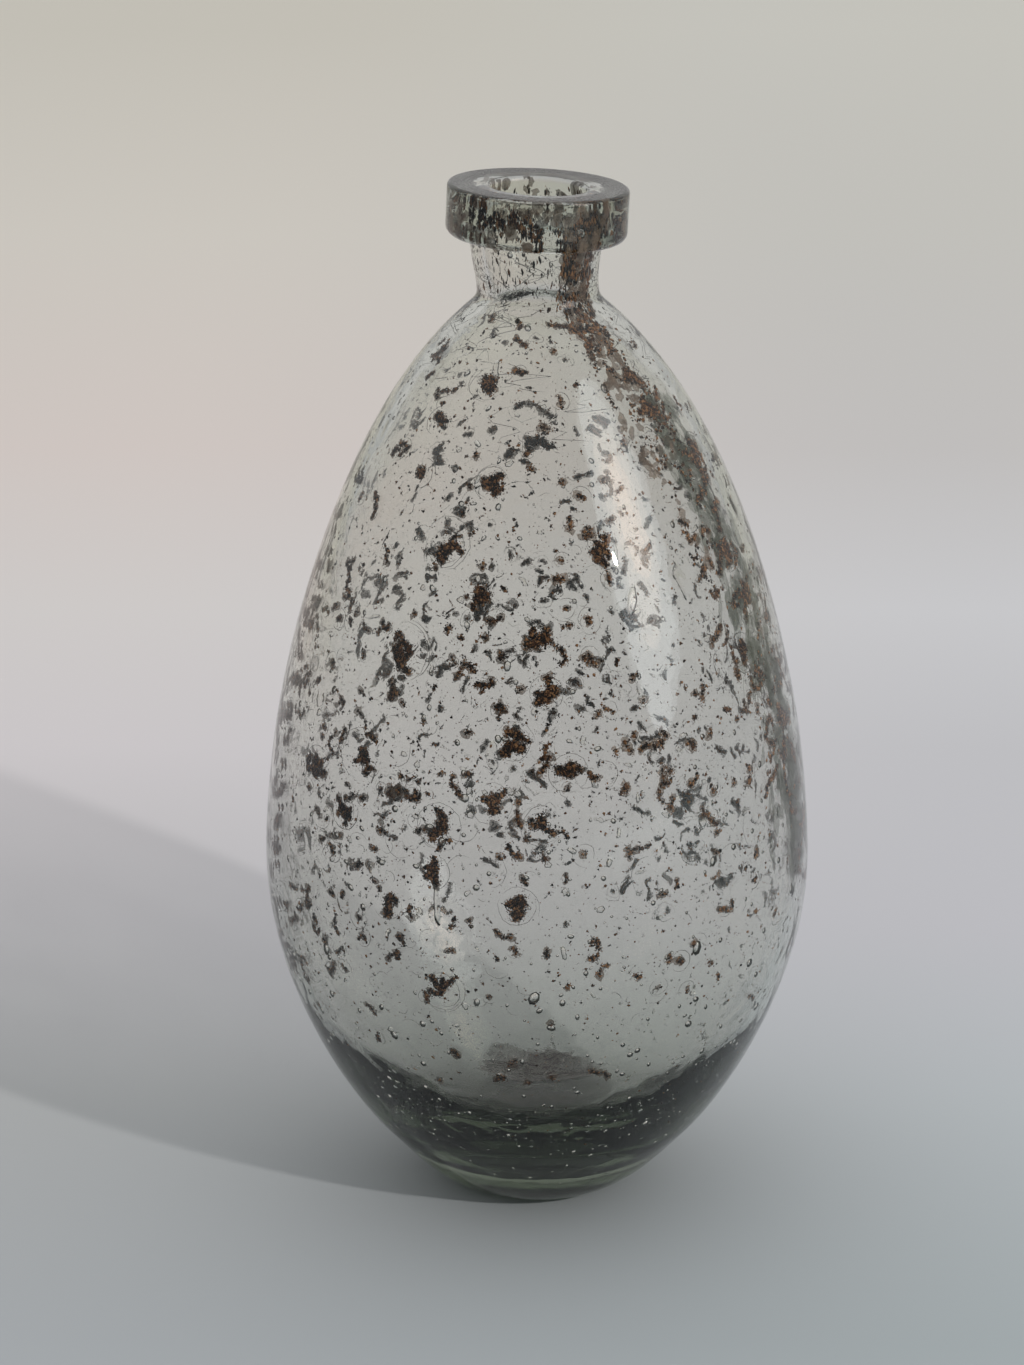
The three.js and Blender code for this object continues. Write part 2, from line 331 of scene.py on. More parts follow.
def ball(around, up):
    """A unit ball as vertices and faces, with its faces looking in."""
    polar, turn = np.meshgrid(np.linspace(0, math.pi, up + 1)[1:-1], np.arange(around) / around * TAU,
                              indexing="ij")
    rings = np.stack([np.sin(polar) * np.cos(turn), np.sin(polar) * np.sin(turn), np.cos(polar)], -1)
    verts = np.vstack([[(0, 0, 1)], rings.reshape(-1, 3), [(0, 0, -1)]])
    return verts, closed_faces(up - 1, around)


def place(shapes, azimuth, height, depth, roll):
    """Move shapes, an array of (count, corners, 3) in wall directions, to their places."""
    points, right, up, out = in_wall(azimuth, height, depth)
    cosine, sine = np.cos(roll)[:, None], np.sin(roll)[:, None]
    x = shapes[:, :, 0] * cosine - shapes[:, :, 1] * sine
    y = shapes[:, :, 0] * sine + shapes[:, :, 1] * cosine
    z = shapes[:, :, 2]
    return (points[:, None, :] + x[:, :, None] * right[:, None, :] + y[:, :, None] * up[:, None, :]
            + z[:, :, None] * out[:, None, :])


def join(shapes, faces):
    """One vertex array and one triangle array from many copies with the same faces."""
    starts = np.arange(len(shapes))[:, None, None] * shapes.shape[1]
    return shapes.reshape(-1, 3), (faces[None] + starts).reshape(-1, 3)


def merge(parts):
    """One vertex array and one triangle array from several."""
    starts = np.cumsum([0] + [len(verts) for verts, _ in parts])
    return (np.vstack([verts for verts, _ in parts]),
            np.vstack([faces + start for (_, faces), start in zip(parts, starts)]))


def ragged(unit, half, size):
    """Copies of a unit ball with wavy outlines: a row of half sizes for each copy."""
    turn = np.arctan2(unit[:, 1], unit[:, 0])[None]
    wave = np.zeros((len(half), len(unit)))
    for lobes in (2, 3, 5, 7):
        phase = rng.uniform(0, TAU, (len(half), 1))
        wave += rng.uniform(0, size, (len(half), 1)) * np.sin(lobes * turn + phase)
    shapes = unit[None] * half[:, None, :]
    shapes[:, :, :2] *= np.clip(1 + wave, FURTHEST_IN, FURTHEST_OUT)[:, :, None]
    return shapes


# %% How thickly things lie
BARE_SIDE = 0.75                # azimuth of the side where oxide is scarce low down
TRIES_FOR_EACH = 12             # so that enough places are left after the sieve


def oxide_share(azimuth, height):
    """How thickly the oxide lies at a place, from 0 to 1: thin at the foot and low on the right."""
    above_foot = np.clip((height - 50 * MM) / (55 * MM), 0.04, 1)
    shoulder = 1 - 0.3 * smooth_step(height, 170 * MM, 215 * MM)
    bare = 0.65 * np.clip(np.cos(azimuth - BARE_SIDE), 0, 1) * smooth_step(-height, -180 * MM, -110 * MM)
    return above_foot * shoulder * (1 - bare)


def seed_share(azimuth, height):
    """Seeds are the other way about: most of them low down, and on the right."""
    low = smooth_step(-height, -190 * MM, -60 * MM)
    return 0.3 + 0.35 * low * (1 + np.cos(azimuth - BARE_SIDE))


def scatter(count, low, high, share):
    """Places between two heights, spread by the wall's area and then by a share function."""
    tries = count * TRIES_FOR_EACH
    height = rng.uniform(low, high, tries)
    azimuth = all_round(tries)
    radius = np.interp(height, outline[:, 1], outline[:, 0])
    kept = rng.uniform(0, 1, tries) < radius / belly_radius * share(azimuth, height)
    return azimuth[kept][:count], height[kept][:count]


print("oxide share, front and right:", oxide_share(np.array([0, 0.8]), np.array([0.1, 0.1])).round(2))

# %% [markdown]
# The frame has one chip for each of the largest clusters. Its box and corners tell where the
# cluster lies, how long it is and how it is turned, and the blisters and the grains follow it.


# %% Where the largest clusters lie
HALF_FROM_SPREAD = 1.42         # from the spread of a chip's corners to half its size


def cluster_of(node):
    """The place, half sizes and roll of the chip that the frame holds in a node."""
    low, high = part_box(node)
    centre = (low + high) / 2
    azimuth = math.atan2(centre.x, -centre.y)
    right, up = (ways[0] for ways in in_wall(azimuth, centre.z, CASING_WALL)[1:3])
    corners = np.array([v.co for v in frame["nodes"][node].data.vertices]) - np.array(centre)
    flat = np.column_stack([corners @ right, corners @ up])
    spread, ways = np.linalg.eigh(flat.T @ flat / len(flat))
    roll = math.atan2(ways[1, 1], ways[0, 1])
    half = np.sqrt(spread[::-1]) * HALF_FROM_SPREAD
    return {"azimuth": azimuth, "height": centre.z, "half": half, "roll": roll}


chips = sorted(name for name in frame["nodes"] if name.startswith("chip_"))
clusters = {name: cluster_of(name) for name in chips}
MIDDLE_CLUSTERS = 890
middle_spots = np.column_stack(scatter(MIDDLE_CLUSTERS, 50 * MM, 284 * MM, oxide_share))
print(len(clusters), "clusters, first", {k: np.round(v, 3) for k, v in clusters[chips[0]].items()})


# %% Seeds, blisters and drawn pockets
THICKEST_SEED = 0.8 * MM        # half of it, so that no seed breaks out of the wall


def seeds(count, around, up, middle, spread, smallest, largest):
    """Round or slightly drawn bubbles, anywhere in the wall."""
    azimuth, height = scatter(count, 8 * MM, 312 * MM, seed_share)
    unit, faces = ball(around, up)
    size = sizes(len(height), middle, spread, smallest, largest)
    stretch = rng.uniform(1, 1.6, len(height))
    half = np.column_stack([size, size * stretch, np.minimum(size * 0.7, THICKEST_SEED)])
    depth = rng.uniform(1.3, 3.3, len(height)) * MM
    shapes = unit[None] * half[:, None, :]
    return join(place(shapes, azimuth, height, depth, rng.normal(0, 0.7, len(height))), faces)


def blisters(count):
    """Thin ragged hollows beside the oxide."""
    azimuth, height = scatter(count, 70 * MM, 280 * MM, oxide_share)
    half = np.column_stack([rng.uniform(0.6, 1.6, len(height)), rng.uniform(0.5, 1.3, len(height)),
                            rng.uniform(0.05, 0.09, len(height))]) * MM
    unit, faces = ball(16, 4)
    depth = CASING_WALL + rng.uniform(-0.8, 0.8, len(height)) * MM
    shapes = ragged(unit, half, 0.2)
    return join(place(shapes, azimuth, height, depth, rng.normal(0, 0.5, len(height))), faces)


def drawn_pockets(count):
    """Flat pockets of air, pulled long as the glass was blown."""
    azimuth, height = scatter(count, 90 * MM, 270 * MM, oxide_share)
    half = np.column_stack([rng.uniform(0.9, 1.8, len(height)), rng.uniform(4, 9, len(height)),
                            rng.uniform(0.06, 0.1, len(height))]) * MM
    unit, faces = ball(20, 5)
    depth = CASING_WALL + rng.uniform(-0.7, 0.7, len(height)) * MM
    shapes = ragged(unit, half, 0.08)
    return join(place(shapes, azimuth, height, depth, rng.normal(0, 0.2, len(height))), faces)


bubble_parts = [
    seeds(940, around=7, up=4, middle=0.6, spread=0.42, smallest=0.38, largest=1.7),
    seeds(1300, around=4, up=3, middle=0.27, spread=0.3, smallest=0.16, largest=0.4),
    blisters(110),
    drawn_pockets(16),
]
print("triangles of bubbles:", [len(faces) for verts, faces in bubble_parts])

# %% [markdown]
# ## Threads
#
# The oxide gives off gas, and the seam between the gathers traps hair-fine lines of it that curl
# round the clusters. Each thread is a bent tube with pointed ends. Bevelled curves could draw it,
# but a curve is solid, and these are hollows in the glass mesh, like the bubbles. Most are arcs,
# and on the neck, where the glass was pulled, they run straight up.


# %% Threads of air
THREAD_RINGS, THREAD_SIDES = 8, 3


def threads(azimuth, height, radius, sweep, start, thick):
    """Hollow arcs on the wall, thinning to a point at both ends."""
    count = len(azimuth)
    share = np.linspace(0, 1, THREAD_RINGS + 2)[None]
    angle = start[:, None] + sweep[:, None] * share
    bend = 1 + np.cumsum(rng.normal(0, 0.035, (count, THREAD_RINGS + 2)), axis=1)
    across = radius[:, None] * (np.cos(angle) * bend - np.cos(start[:, None]))
    up = radius[:, None] * (np.sin(angle) * bend - np.sin(start[:, None]))
    a, h = offset(azimuth[:, None], height[:, None], across, up)
    depth = CASING_WALL + rng.uniform(-0.9, 0.9, (count, 1)) * MM + 0 * a
    placed = in_wall(a.ravel(), h.ravel(), depth.ravel())
    points, out = placed[0].reshape(count, -1, 3), placed[3].reshape(count, -1, 3)
    along = np.gradient(points, axis=1)
    along /= np.linalg.norm(along, axis=2, keepdims=True)
    side = np.cross(along, out)
    thickness = (thick[:, None] * np.sin(math.pi * share) ** 0.5)[:, 1:-1, None, None]
    turn = (np.arange(THREAD_SIDES) / THREAD_SIDES * TAU)[None, None, :, None]
    rings = (points[:, 1:-1, None] + thickness * (np.cos(turn) * side[:, 1:-1, None]
                                                  + np.sin(turn) * out[:, 1:-1, None]))
    shapes = np.concatenate([points[:, :1], rings.reshape(count, -1, 3), points[:, -1:]], 1)
    return join(shapes, closed_faces(THREAD_RINGS, THREAD_SIDES))


def curled_threads(count):
    """Arcs anywhere on the body, from a short hook to half a ring."""
    azimuth, height = scatter(count, 60 * MM, 282 * MM, oxide_share)
    count = len(height)
    radius = sizes(count, middle=2.4, spread=0.5, smallest=0.8, largest=7)
    return threads(azimuth, height, radius, rng.uniform(0.7, 3.2, count), rng.uniform(0, TAU, count),
                   rng.uniform(0.07, 0.13, count) * MM)


def halo_threads():
    """Arcs, one outside the other, round the largest clusters and round some of the others."""
    rings = []
    for cluster in clusters.values():
        reach = cluster["half"].mean() * rng.uniform(0.9, 1.2)
        rings += [(cluster["azimuth"], cluster["height"], reach + (0.7 + 0.6 * k) * MM)
                  for k in range(int(rng.integers(1, 4)))]
    for azimuth, height in middle_spots[::3]:
        reach = rng.uniform(1.3, 3.2) * MM
        rings += [(azimuth, height, reach + 0.5 * k * MM) for k in range(int(rng.integers(1, 3)))]
    azimuth, height, radius = np.array(rings).T
    start = rng.uniform(0, TAU, len(radius))
    a, h = offset(azimuth, height, radius * np.cos(start), radius * np.sin(start))
    return threads(a, h, radius, rng.uniform(1.4, 4.6, len(radius)), start,
                   rng.uniform(0.09, 0.15, len(radius)) * MM)


def pulled_threads(count):
    """Nearly straight: short arcs of a very wide circle, beginning level with its centre."""
    azimuth = all_round(count)
    height = rng.uniform(CREASE_HEIGHT - 22 * MM, UNDERSIDE, count)
    return threads(azimuth, height, np.full(count, 90 * MM), rng.uniform(0.05, 0.16, count),
                   rng.choice([0.0, math.pi], count), rng.uniform(0.1, 0.2, count) * MM)


bubble_parts += [curled_threads(440), halo_threads(), pulled_threads(80)]
glass_verts, glass_faces = merge([glass_body] + bubble_parts)
print("glass with bubbles:", len(glass_verts), "vertices,", len(glass_faces), "triangles")


# %% Make the glass object
def new_piece(name, verts, faces, smooth, node_slot):
    """A mesh object on the one body of the part, with its slot."""
    mesh = bpy.data.meshes.new(name)
    mesh.from_pydata(verts.tolist(), [], faces.tolist())
    mesh.polygons.foreach_set("use_smooth", np.full(len(mesh.polygons), smooth))
    mesh.validate()
    piece = bpy.data.objects.new(name, mesh)
    bpy.context.scene.collection.objects.link(piece)
    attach(piece, "root")
    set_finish(piece, node_slot)
    return piece


glass = new_piece("blown_glass", glass_verts, glass_faces, True, "casing_glass")
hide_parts("casing", "inner_gather", "lip_collar")
print("made", glass.name)

# %% [markdown]
# ## Oxide grains
#
# A cluster is a crowd of little angular grains, black where they crowd and rusty at the edge.
# Each grain is a jittered icosahedron, or an octahedron where it is too small to show its sides,
# flattened into the layer between the gathers. On the neck the grains are pulled long. Geometry
# nodes could scatter them, but plain arrays make each cluster one light mesh that stands in for its
# own chip. One number for each grain, stored on the mesh as an attribute, tells the material how
# brown it is: its rust, and painted light that makes the grains paler brown on the side that faces
# the lamps.

# %% Grain shapes
GOLDEN = (1 + math.sqrt(5)) / 2
ICO_VERTS = np.array([(-1, GOLDEN, 0), (1, GOLDEN, 0), (-1, -GOLDEN, 0), (1, -GOLDEN, 0),
                      (0, -1, GOLDEN), (0, 1, GOLDEN), (0, -1, -GOLDEN), (0, 1, -GOLDEN),
                      (GOLDEN, 0, -1), (GOLDEN, 0, 1), (-GOLDEN, 0, -1), (-GOLDEN, 0, 1)])
ICO_VERTS /= np.linalg.norm(ICO_VERTS[0])
ICO_FACES = np.array([(0, 11, 5), (0, 5, 1), (0, 1, 7), (0, 7, 10), (0, 10, 11), (1, 5, 9), (5, 11, 4),
                      (11, 10, 2), (10, 7, 6), (7, 1, 8), (3, 9, 4), (3, 4, 2), (3, 2, 6), (3, 6, 8),
                      (3, 8, 9), (4, 9, 5), (2, 4, 11), (6, 2, 10), (8, 6, 7), (9, 8, 1)])
OCTA_VERTS = np.array([(1, 0, 0), (0, 1, 0), (-1, 0, 0), (0, -1, 0), (0, 0, 1), (0, 0, -1)], float)
OCTA_FACES = np.array([(0, 1, 4), (1, 2, 4), (2, 3, 4), (3, 0, 4),
                       (1, 0, 5), (2, 1, 5), (3, 2, 5), (0, 3, 5)])
SMALL_GRAIN = 0.8 * MM          # below this a grain is an octahedron
print("sides of a large and a small grain:", len(ICO_FACES), len(OCTA_FACES))


def pulled_share(height):
    """How far the glass was pulled long at a height, from 0 on the body to 1 on the neck."""
    return smooth_step(height, CREASE_HEIGHT - 12 * MM, CREASE_HEIGHT + 3 * MM)


def grain_meshes(rows):
    """Meshes and rust values for grains, given as rows of azimuth, height, size and rust."""
    parts, rust = [], []
    for chosen, unit, faces in ((rows[:, 2] >= SMALL_GRAIN, ICO_VERTS, ICO_FACES),
                                (rows[:, 2] < SMALL_GRAIN, OCTA_VERTS, OCTA_FACES)):
        azimuth, height, size, brown = rows[chosen].T
        count = len(size)
        pulled = pulled_share(height)
        turn = all_round(count) * (1 - pulled) + rng.normal(0, 0.15, count)
        shapes = unit[None] * rng.uniform(0.7, 1.3, (count, len(unit), 1))
        half = np.column_stack([size * (0.5 - 0.15 * pulled), size * (0.4 + 0.6 * pulled),
                                np.minimum(size * 0.35, 0.4 * MM)])
        depth = CASING_WALL + rng.normal(0, 0.12 * MM, count)
        parts.append(join(place(shapes * half[:, None, :], azimuth, height, depth, turn), faces))
        rust.append(np.repeat(brown, len(unit)))
    verts, faces = merge(parts)
    return verts, faces, np.concatenate(rust)


def oxide_piece(name, rows):
    """A piece of oxide from rows of grains, with their rust numbers."""
    verts, faces, rust = grain_meshes(rows)
    piece = new_piece(name, verts, faces, False, "oxide")
    attribute = piece.data.attributes.new("rust", "FLOAT", "POINT")
    attribute.data.foreach_set("value", rust.astype(np.float32))
    return piece


# %% [markdown]
# A cluster grows by a short random walk: a lump, a step of a millimetre, another lump. That gives
# the ragged chains and rings of real oxide, which a heap round one centre doesn't.


# %% Lumps and walks
HIGHEST = MOUTH_HEIGHT - 3 * MM     # no grain lies above this
# Azimuth of the side that faces the lamps, where painted light makes the oxide paler brown.
LAMP_FACING_SIDE = 1.0                    # azimuth
RUST_STEPS, STEP_SHARES = [-0.3, 0.3], [0.64, 0.36]     # most grains are darker than their lump


def rust_and_painted_side_light(azimuth):
    """Rust level, with painted light: the oxide is blackest on the left and paler brown on the right, the
    side that faces the lamps.
    """
    return 0.42 + 0.15 * np.cos(azimuth - LAMP_FACING_SIDE)


print("brownness on the left and right:", rust_and_painted_side_light(np.array([-1.0, 1.0])).round(2))


def lumps(azimuth, height, count, spread, biggest):
    """Rows of grains round lump places: large in the middle, and smaller crumbs outside."""
    lump = np.repeat(np.arange(len(azimuth)), count)
    away = np.abs(rng.normal(0, 1, len(lump)))
    turn = rng.uniform(0, TAU, len(lump))
    a, h = offset(azimuth[lump], height[lump], away * np.cos(turn) * spread, away * np.sin(turn) * spread)
    size = biggest * np.exp(-0.5 * away) * rng.uniform(0.4, 1.2, len(lump))
    of_lump = rng.normal(0, 0.2, len(azimuth))[lump]
    of_grain = rng.choice(RUST_STEPS, len(lump), p=STEP_SHARES)
    # Random rust for each lump and grain, plus painted light: paler brown on the side that faces the
    # lamps.
    rust = np.clip(of_lump + rust_and_painted_side_light(a) + of_grain, 0, 1)
    rows = np.column_stack([a, h, size, rust])
    return rows[h < HIGHEST]


def walk(azimuth, height, steps, heading, step):
    """Places along a wandering line that begins near a place."""
    turn = heading + np.cumsum(rng.normal(0, 0.75, steps))
    length = step * rng.uniform(0.6, 1.3, steps)
    across, up = np.cumsum(length * np.cos(turn)), np.cumsum(length * np.sin(turn))
    return offset(azimuth, height, across - across.mean(), up - up.mean())


# %% Large clusters, one for each chip of the frame
WALK_STEP = 0.42 * MM           # of half the chip's length


def large_cluster(cluster):
    """Two or three walks inside the chip's outline."""
    half, roll = cluster["half"], cluster["roll"]
    steps = max(3, int(half[0] / WALK_STEP))
    places = []
    for _ in range(int(rng.integers(2, 4))):
        side = rng.uniform(-0.7, 0.7) * half[1]
        a, h = offset(cluster["azimuth"], cluster["height"], -side * math.sin(roll), side * math.cos(roll))
        places.append(walk(a, h, steps, roll + rng.choice([0, math.pi]), half[0] * 1.7 / steps))
    return np.hstack(places)


stain_places = []
for name in chips:
    azimuth, height = large_cluster(clusters[name])
    stain_places.append(np.column_stack([azimuth, height])[::2])
    rows = lumps(azimuth, height, rng.integers(18, 30, len(azimuth)), 1.1 * MM, 1.1 * MM)
    piece = oxide_piece(name.replace("chip", "cluster"), rows)
    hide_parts(name)
print("large clusters:", len(chips))


# %% Middle-sized clusters, in four pieces
def middle_clusters():
    """Rows of grains for the clusters that the frame is too coarse to hold."""
    rows = []
    for a, h in middle_spots:
        steps = int(2 + rng.exponential(3.0))
        heading = rng.normal(0, 0.6) if rng.uniform() < 0.7 else rng.uniform(0, TAU)
        places = walk(a, h, steps, heading, rng.uniform(0.7, 1.15) * MM)
        stain_places.append(np.column_stack(places)[::2])
        rows.append(lumps(*places, rng.integers(9, 19, steps), rng.uniform(0.7, 1.05) * MM,
                          rng.uniform(0.8, 1.15) * MM))
    return np.vstack(rows)


middle = middle_clusters()
quarter = np.floor((middle[:, 0] + math.pi / 4) % TAU / (math.pi / 2)).astype(int) % 4
for number, side in enumerate(("front", "right", "back", "left")):
    piece = oxide_piece("freckles_" + side, middle[quarter == number])
    print("freckles", side, len(piece.data.polygons), "triangles")


# %% Small clusters and fine specks
def small_clusters(count):
    """Single small lumps."""
    azimuth, height = scatter(count, 45 * MM, 283 * MM, oxide_share)
    return lumps(azimuth, height, rng.integers(3, 10, len(height)), 0.5 * MM, 0.95 * MM)


def fine_specks(count):
    """Single grains, which lie more evenly than the clusters."""
    azimuth, height = scatter(count, 28 * MM, 283 * MM, lambda a, h: 0.35 + 0.65 * oxide_share(a, h))
    size = sizes(len(height), middle=0.36, spread=0.4, smallest=0.16, largest=1.0)
    # Rust with painted light, paler brown on the side that faces the lamps.
    rust = np.clip(rust_and_painted_side_light(azimuth) + rng.normal(0, 0.15, len(height)), 0, 1)
    return np.column_stack([azimuth, height, size, rust])


small = oxide_piece("small_clusters", small_clusters(2400))
specks = oxide_piece("fine_specks", fine_specks(11000))
print("small clusters:", len(small.data.polygons), "triangles; specks:", len(specks.data.polygons))


# %% [markdown]
# ## The neck and the streak
#
# Where the neck was pulled, the oxide ran into upright streaks, and inside the collar it lies
# thick all round. From the right of the neck one dense, rusty streak runs down over the shoulder,
# and it goes on as tall dark masses down the right flank. A few more lie on the left flank.


# %% Neck specks
def neck_specks(count):
    """Single grains up the neck."""
    azimuth = all_round(count)
    height = rng.uniform(CREASE_HEIGHT - 2 * MM, UNDERSIDE, count)
    size = sizes(count, middle=0.5, spread=0.45, smallest=0.2, largest=1.5)
    return np.column_stack([azimuth, height, size, np.clip(rng.normal(0.35, 0.2, count), 0, 1)])


def under_collar(count):
    """Lumps that the wrap of the collar covers, all round."""
    azimuth = all_round(count)
    height = UNDERSIDE + rng.beta(1.6, 1.3, count) * (COLLAR_THICKNESS - 3 * MM)
    return lumps(azimuth, height, rng.integers(3, 9, count), 0.8 * MM, 1.0 * MM)


def collar_belt(count):
    """A belt of oxide inside the collar that comes down from the left to the middle."""
    share = rng.uniform(0, 1, count)
    height = UNDERSIDE + (10.5 - 5.5 * share + rng.normal(0, 1.6, count)) * MM
    return lumps(np.radians(-70 + 75 * share), height, rng.integers(4, 12, count), 0.9 * MM, 1.1 * MM)


def behind_mouth(count):
    """A crowd of grains on the far side of the bore, which shows through the mouth."""
    azimuth = math.pi + rng.uniform(-0.9, 0.9, count)
    height = UNDERSIDE + rng.uniform(1.5, 9, count) * MM
    return lumps(azimuth, height, rng.integers(2, 7, count), 0.7 * MM, 0.9 * MM)


neck = oxide_piece("neck_specks", np.vstack([neck_specks(560), under_collar(130), collar_belt(80),
                                             behind_mouth(60)]))
print("neck specks:", len(neck.data.polygons), "triangles")


# %% The brown streak down one side
STREAK = [(48, 315, 11), (45, 300, 9), (42, 284, 7.5), (42, 272, 9), (46, 258, 15), (52, 243, 15),
          (58, 217, 14), (64, 190, 12), (72, 150, 10)]     # azimuth in degrees, height and width in mm


def streak_places(count, widen=1.0):
    """Places along the streak, thickest at its top."""
    share = rng.beta(0.9, 1.9, count)
    stops = np.linspace(0, 1, len(STREAK))
    azimuth, height, width = (np.interp(share, stops, [row[k] for row in STREAK]) for k in range(3))
    across = rng.uniform(-0.75, 0.75, count) * width * MM * widen
    return offset(np.radians(azimuth), height * MM, across, rng.normal(0, 2 * MM, count))


def streak_rows():
    """Chains of lumps that run down the streak."""
    rows = []
    for azimuth, height in zip(*streak_places(112)):
        places = walk(azimuth, height, 6, -math.pi / 2 + rng.normal(0, 0.3), 1.3 * MM)
        rows.append(lumps(*places, rng.integers(4, 10, 6), 0.65 * MM, 1.1 * MM))
    return np.vstack(rows)


FLANK = [(100, 76), (150, 70), (190, 65), (225, 62), (262, 57)]     # height in mm, azimuth in degrees


def on_flank(count, spread, low, high):
    """Places on the band where the oxide thickens near the right edge of the view."""
    height = rng.uniform(low, high, count)
    azimuth = np.interp(height, *np.array(FLANK).T) + rng.normal(0, spread, count)
    return np.radians(azimuth), height * MM


def flank_rows(azimuth, height, grains):
    """Tall masses of oxide, each a wandering line of lumps."""
    rows = []
    for a, h in zip(azimuth, height):
        steps = int(rng.integers(4, 13))
        places = walk(a, h, steps, -math.pi / 2 + rng.normal(0, 0.7), 1.2 * MM)
        stain_places.append(np.column_stack(places))
        rows.append(lumps(*places, rng.integers(grains // 2, grains, steps), 1.0 * MM, 1.1 * MM))
    return np.vstack(rows)


LEFT_MASSES = 18
left_flank = (np.radians(rng.normal(-72, 8, LEFT_MASSES)), rng.uniform(75, 215, LEFT_MASSES) * MM)
streak = oxide_piece("brown_streak", np.vstack([
    streak_rows(),
    flank_rows(*on_flank(36, 6, 105, 262), grains=18),
    flank_rows(*left_flank, grains=14),
]))
print("streak:", len(streak.data.polygons), "triangles")

# %% [markdown]
# ## Stains
#
# Between and round the grains the glass is stained a see-through brown. Each stain is a very flat,
# ragged lens, most of them in the layer of oxide, and its material is half transparent. A colour
# on the glass's own surface would be simpler, but it would lie over the highlights and not under
# them. Green films lie down the right flank, and one darker, brownish patch of films lies in the
# heavy floor.


# %% Stain films
FILM_HALF = 0.04 * MM           # half the thickness of a film


def films(azimuth, height, half_across, half_up, roll, depth=CASING_WALL + 0.1 * MM):
    """Flat lenses in the wall, whose faces look out and not in."""
    unit, faces = ball(12, 3)
    half = np.column_stack([half_across, half_up, np.full(len(roll), FILM_HALF)])
    shapes = place(ragged(unit, half, 0.22), azimuth, height, np.full(len(roll), depth), roll)
    return join(shapes, faces[:, ::-1])


def cluster_stains():
    """A film at every other lump of the clusters and at each of the flanks'."""
    azimuth, height = np.vstack(stain_places).T
    size = rng.uniform(0.8, 1.9, len(height)) * MM
    return films(azimuth, height, size, size * rng.uniform(0.6, 1.1, len(height)),
                 rng.uniform(0, TAU, len(height)))


def streak_stains(count):
    """Films down the streak, long ones on the neck."""
    azimuth, height = streak_places(count, 0.9)
    longer = 1 + 0.6 * pulled_share(height)
    return films(azimuth, np.minimum(height, HIGHEST - 4 * MM), rng.uniform(0.8, 2, count) * MM,
                 rng.uniform(1.2, 3, count) * longer * MM, rng.normal(0, 0.4, count))


def flank_stains(count):
    """Tall films down the right flank."""
    azimuth, height = on_flank(count, 5, 112, 260)
    return films(azimuth, height, rng.uniform(1, 3, count) * MM, rng.uniform(2.5, 8, count) * MM,
                 rng.normal(0, 0.25, count))


def collar_stains(count):
    """Films at many depths, from inside the neck's wall to well out in the collar."""
    azimuth = all_round(count)
    height = rng.uniform(UNDERSIDE, HIGHEST, count)
    return films(azimuth, height, rng.uniform(0.8, 2.2, count) * MM, rng.uniform(1, 3, count) * MM,
                 rng.normal(0, 0.4, count), rng.uniform(-4, 3, count) * MM)


PATCH_WIDTH, PATCH_DEPTH = 20, 14           # half of each, in mm
PATCH_BACK = 27                             # from the axis to the middle of the patch, in mm


def darker_floor_films(count):
    """A darker, brownish patch of films in the heavy floor of the bottle, just under the bowl."""
    reach, turn = rng.uniform(0, 1, count) ** 0.5, rng.uniform(0, TAU, count)
    unit, faces = ball(12, 3)
    size = rng.uniform(4, 9, count) * MM
    shapes = ragged(unit, np.column_stack([size, size, np.full(count, FILM_HALF)]), 0.25)
    centres = np.column_stack([PATCH_WIDTH * reach * np.cos(turn),
                               PATCH_BACK + PATCH_DEPTH * reach * np.sin(turn),
                               rng.uniform(16.3, 17.5, count)])
    return join(shapes + centres[:, None] * MM, faces[:, ::-1])


stains = new_piece("stain_films", *merge([cluster_stains(), streak_stains(220), collar_stains(110)]),
                   False, "oxide")
green = new_piece("green_films", *flank_stains(280), False, "oxide")
patch = new_piece("floor_patch", *darker_floor_films(46), False, "oxide")
print("stains:", len(stains.data.polygons), "triangles; green:", len(green.data.polygons))

# %% [markdown]
# ## Shared shader groups
#
# Two effects are node groups, so that a material sets only the numbers that matter. Mottle gives
# the uneven mask of the oxide and of every stain. Ripple gives the glass its height for bump from
# two sizes of noise, the broad waves of blowing and a much finer grain.


# %% Node groups
def new_group(name, inputs, outputs):
    """An empty shader group with named sockets, and its two end nodes."""
    tree = bpy.data.node_groups.new(name, "ShaderNodeTree")
    for label, kind, value in inputs:
        tree.interface.new_socket(name=label, in_out="INPUT", socket_type=kind).default_value = value
    for label, kind in outputs:
        tree.interface.new_socket(name=label, in_out="OUTPUT", socket_type=kind)
    return tree, tree.nodes.new("NodeGroupInput"), tree.nodes.new("NodeGroupOutput")


def node(tree, kind, values=None, links=None, **settings):
    """Add a node, set its settings and socket values, and link its inputs."""
    made = tree.nodes.new(kind)
    for key, value in settings.items():
        setattr(made, key, value)
    for key, value in (values or {}).items():
        made.inputs[key].default_value = value
    for key, source in (links or {}).items():
        tree.links.new(source, made.inputs[key])
    return made


# %% Mottle and ripple
mottle, head, tail = new_group(
    "Mottle", [("Scale", "NodeSocketFloat", 400.0), ("Low", "NodeSocketFloat", 0.35),
               ("High", "NodeSocketFloat", 0.65)], [("Mask", "NodeSocketFloat")])
place_in = node(mottle, "ShaderNodeTexCoord")
noise = node(mottle, "ShaderNodeTexNoise", {"Detail": 4.0, "Roughness": 0.6},
             {"Vector": place_in.outputs["Object"], "Scale": head.outputs["Scale"]})
limits = node(mottle, "ShaderNodeMapRange", {},
              {"Value": noise.outputs["Fac"], "From Min": head.outputs["Low"],
               "From Max": head.outputs["High"]})
mottle.links.new(limits.outputs["Result"], tail.inputs["Mask"])

